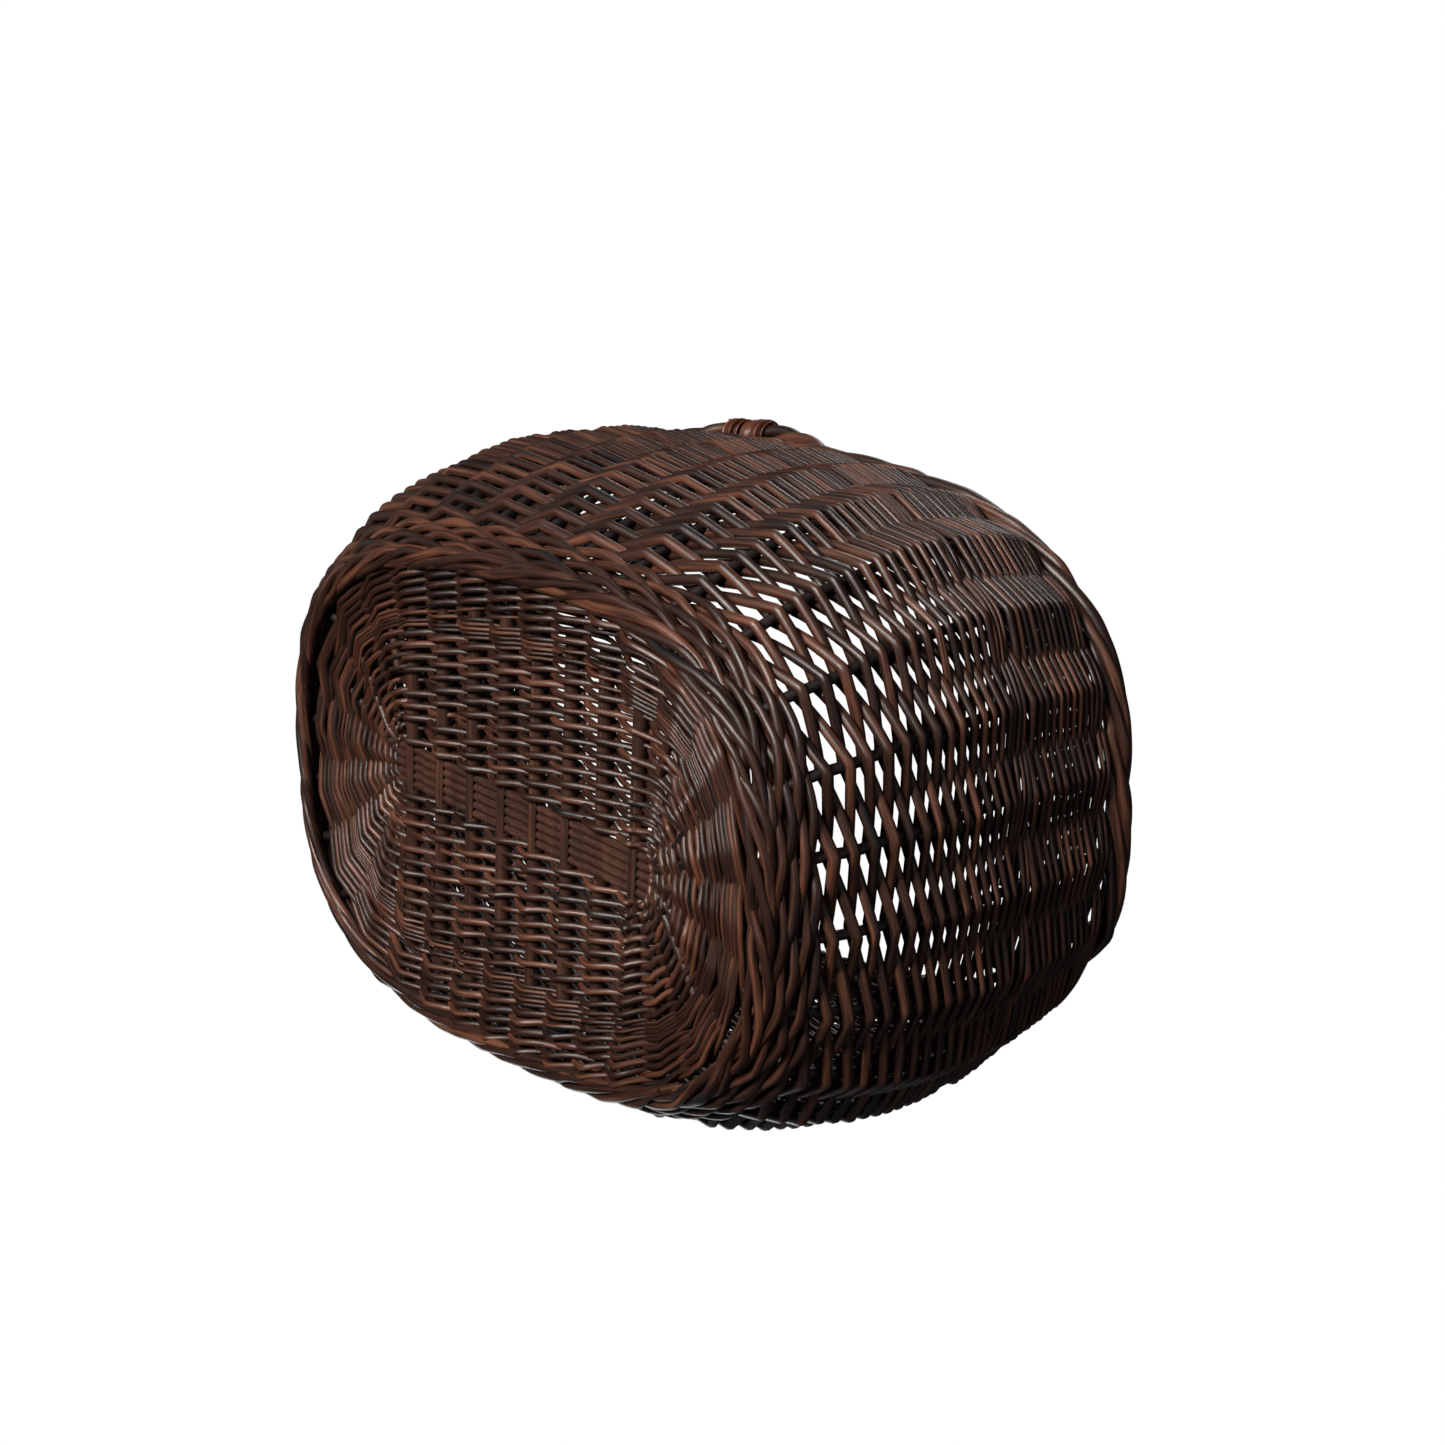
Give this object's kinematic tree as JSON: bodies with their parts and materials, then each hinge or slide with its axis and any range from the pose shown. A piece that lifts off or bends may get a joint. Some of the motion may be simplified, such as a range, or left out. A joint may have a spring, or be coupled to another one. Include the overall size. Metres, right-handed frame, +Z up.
{
  "type": "wicker log basket",
  "caption": "Oval woven willow log basket with a stick base, flared open wall, rope border and a bound rope handle on each long side.",
  "frame": {"origin": "on the ground under the middle of the basket, at the flat underside of the foot border", "axes": "+Z up out of the open top, X along the oval's long axis, Y along its short axis"},
  "size_m": [0.5472, 0.3875, 0.2738],
  "materials": {
    "base_sticks": "dark brown stained willow, satin, cleft ends",
    "base_weavers": "dark brown stained willow rods, satin",
    "stakes": "near-black stained willow, satin",
    "wall_weavers": "dark brown stained willow rods, satin, reddish where the stain is thin",
    "border_rods": "dark brown stained willow rods, satin",
    "handle_rods": "dark brown stained willow rods, satin",
    "binding_skein": "split willow skein, stained reddish brown, satin"
  },
  "bodies": {
    "root": {"back_handle_binding": "binding_skein", "back_handle_rod_1": "handle_rods", "back_handle_rod_2": "handle_rods", "back_handle_rod_3": "handle_rods", "base_cross_stick_1": "base_sticks", "base_cross_stick_2": "base_sticks", "base_cross_stick_3": "base_sticks", "base_cross_stick_4": "base_sticks", "base_cross_stick_5": "base_sticks", "base_cross_stick_6": "base_sticks", "base_cross_stick_7": "base_sticks", "base_cross_stick_8": "base_sticks", "base_end_sticks": "base_sticks", "base_long_stick_1": "base_sticks", "base_long_stick_2": "base_sticks", "base_long_stick_3": "base_sticks", "base_long_stick_4": "base_sticks", "base_long_stick_5": "base_sticks", "base_weave_inner": "base_weavers", "base_weave_outer": "base_weavers", "base_weave_thin_band": "base_weavers", "foot_border": "border_rods", "front_handle_binding": "binding_skein", "front_handle_rod_1": "handle_rods", "front_handle_rod_2": "handle_rods", "front_handle_rod_3": "handle_rods", "lower_rand": "wall_weavers", "middle_wale": "wall_weavers", "rim_border": "border_rods", "side_stakes_back_side": "stakes", "side_stakes_front_side": "stakes", "side_stakes_left_end": "stakes", "side_stakes_right_end": "stakes", "top_wale": "wall_weavers", "upper_rand": "wall_weavers", "upsett_wale": "wall_weavers"}
  },
  "joints": []
}
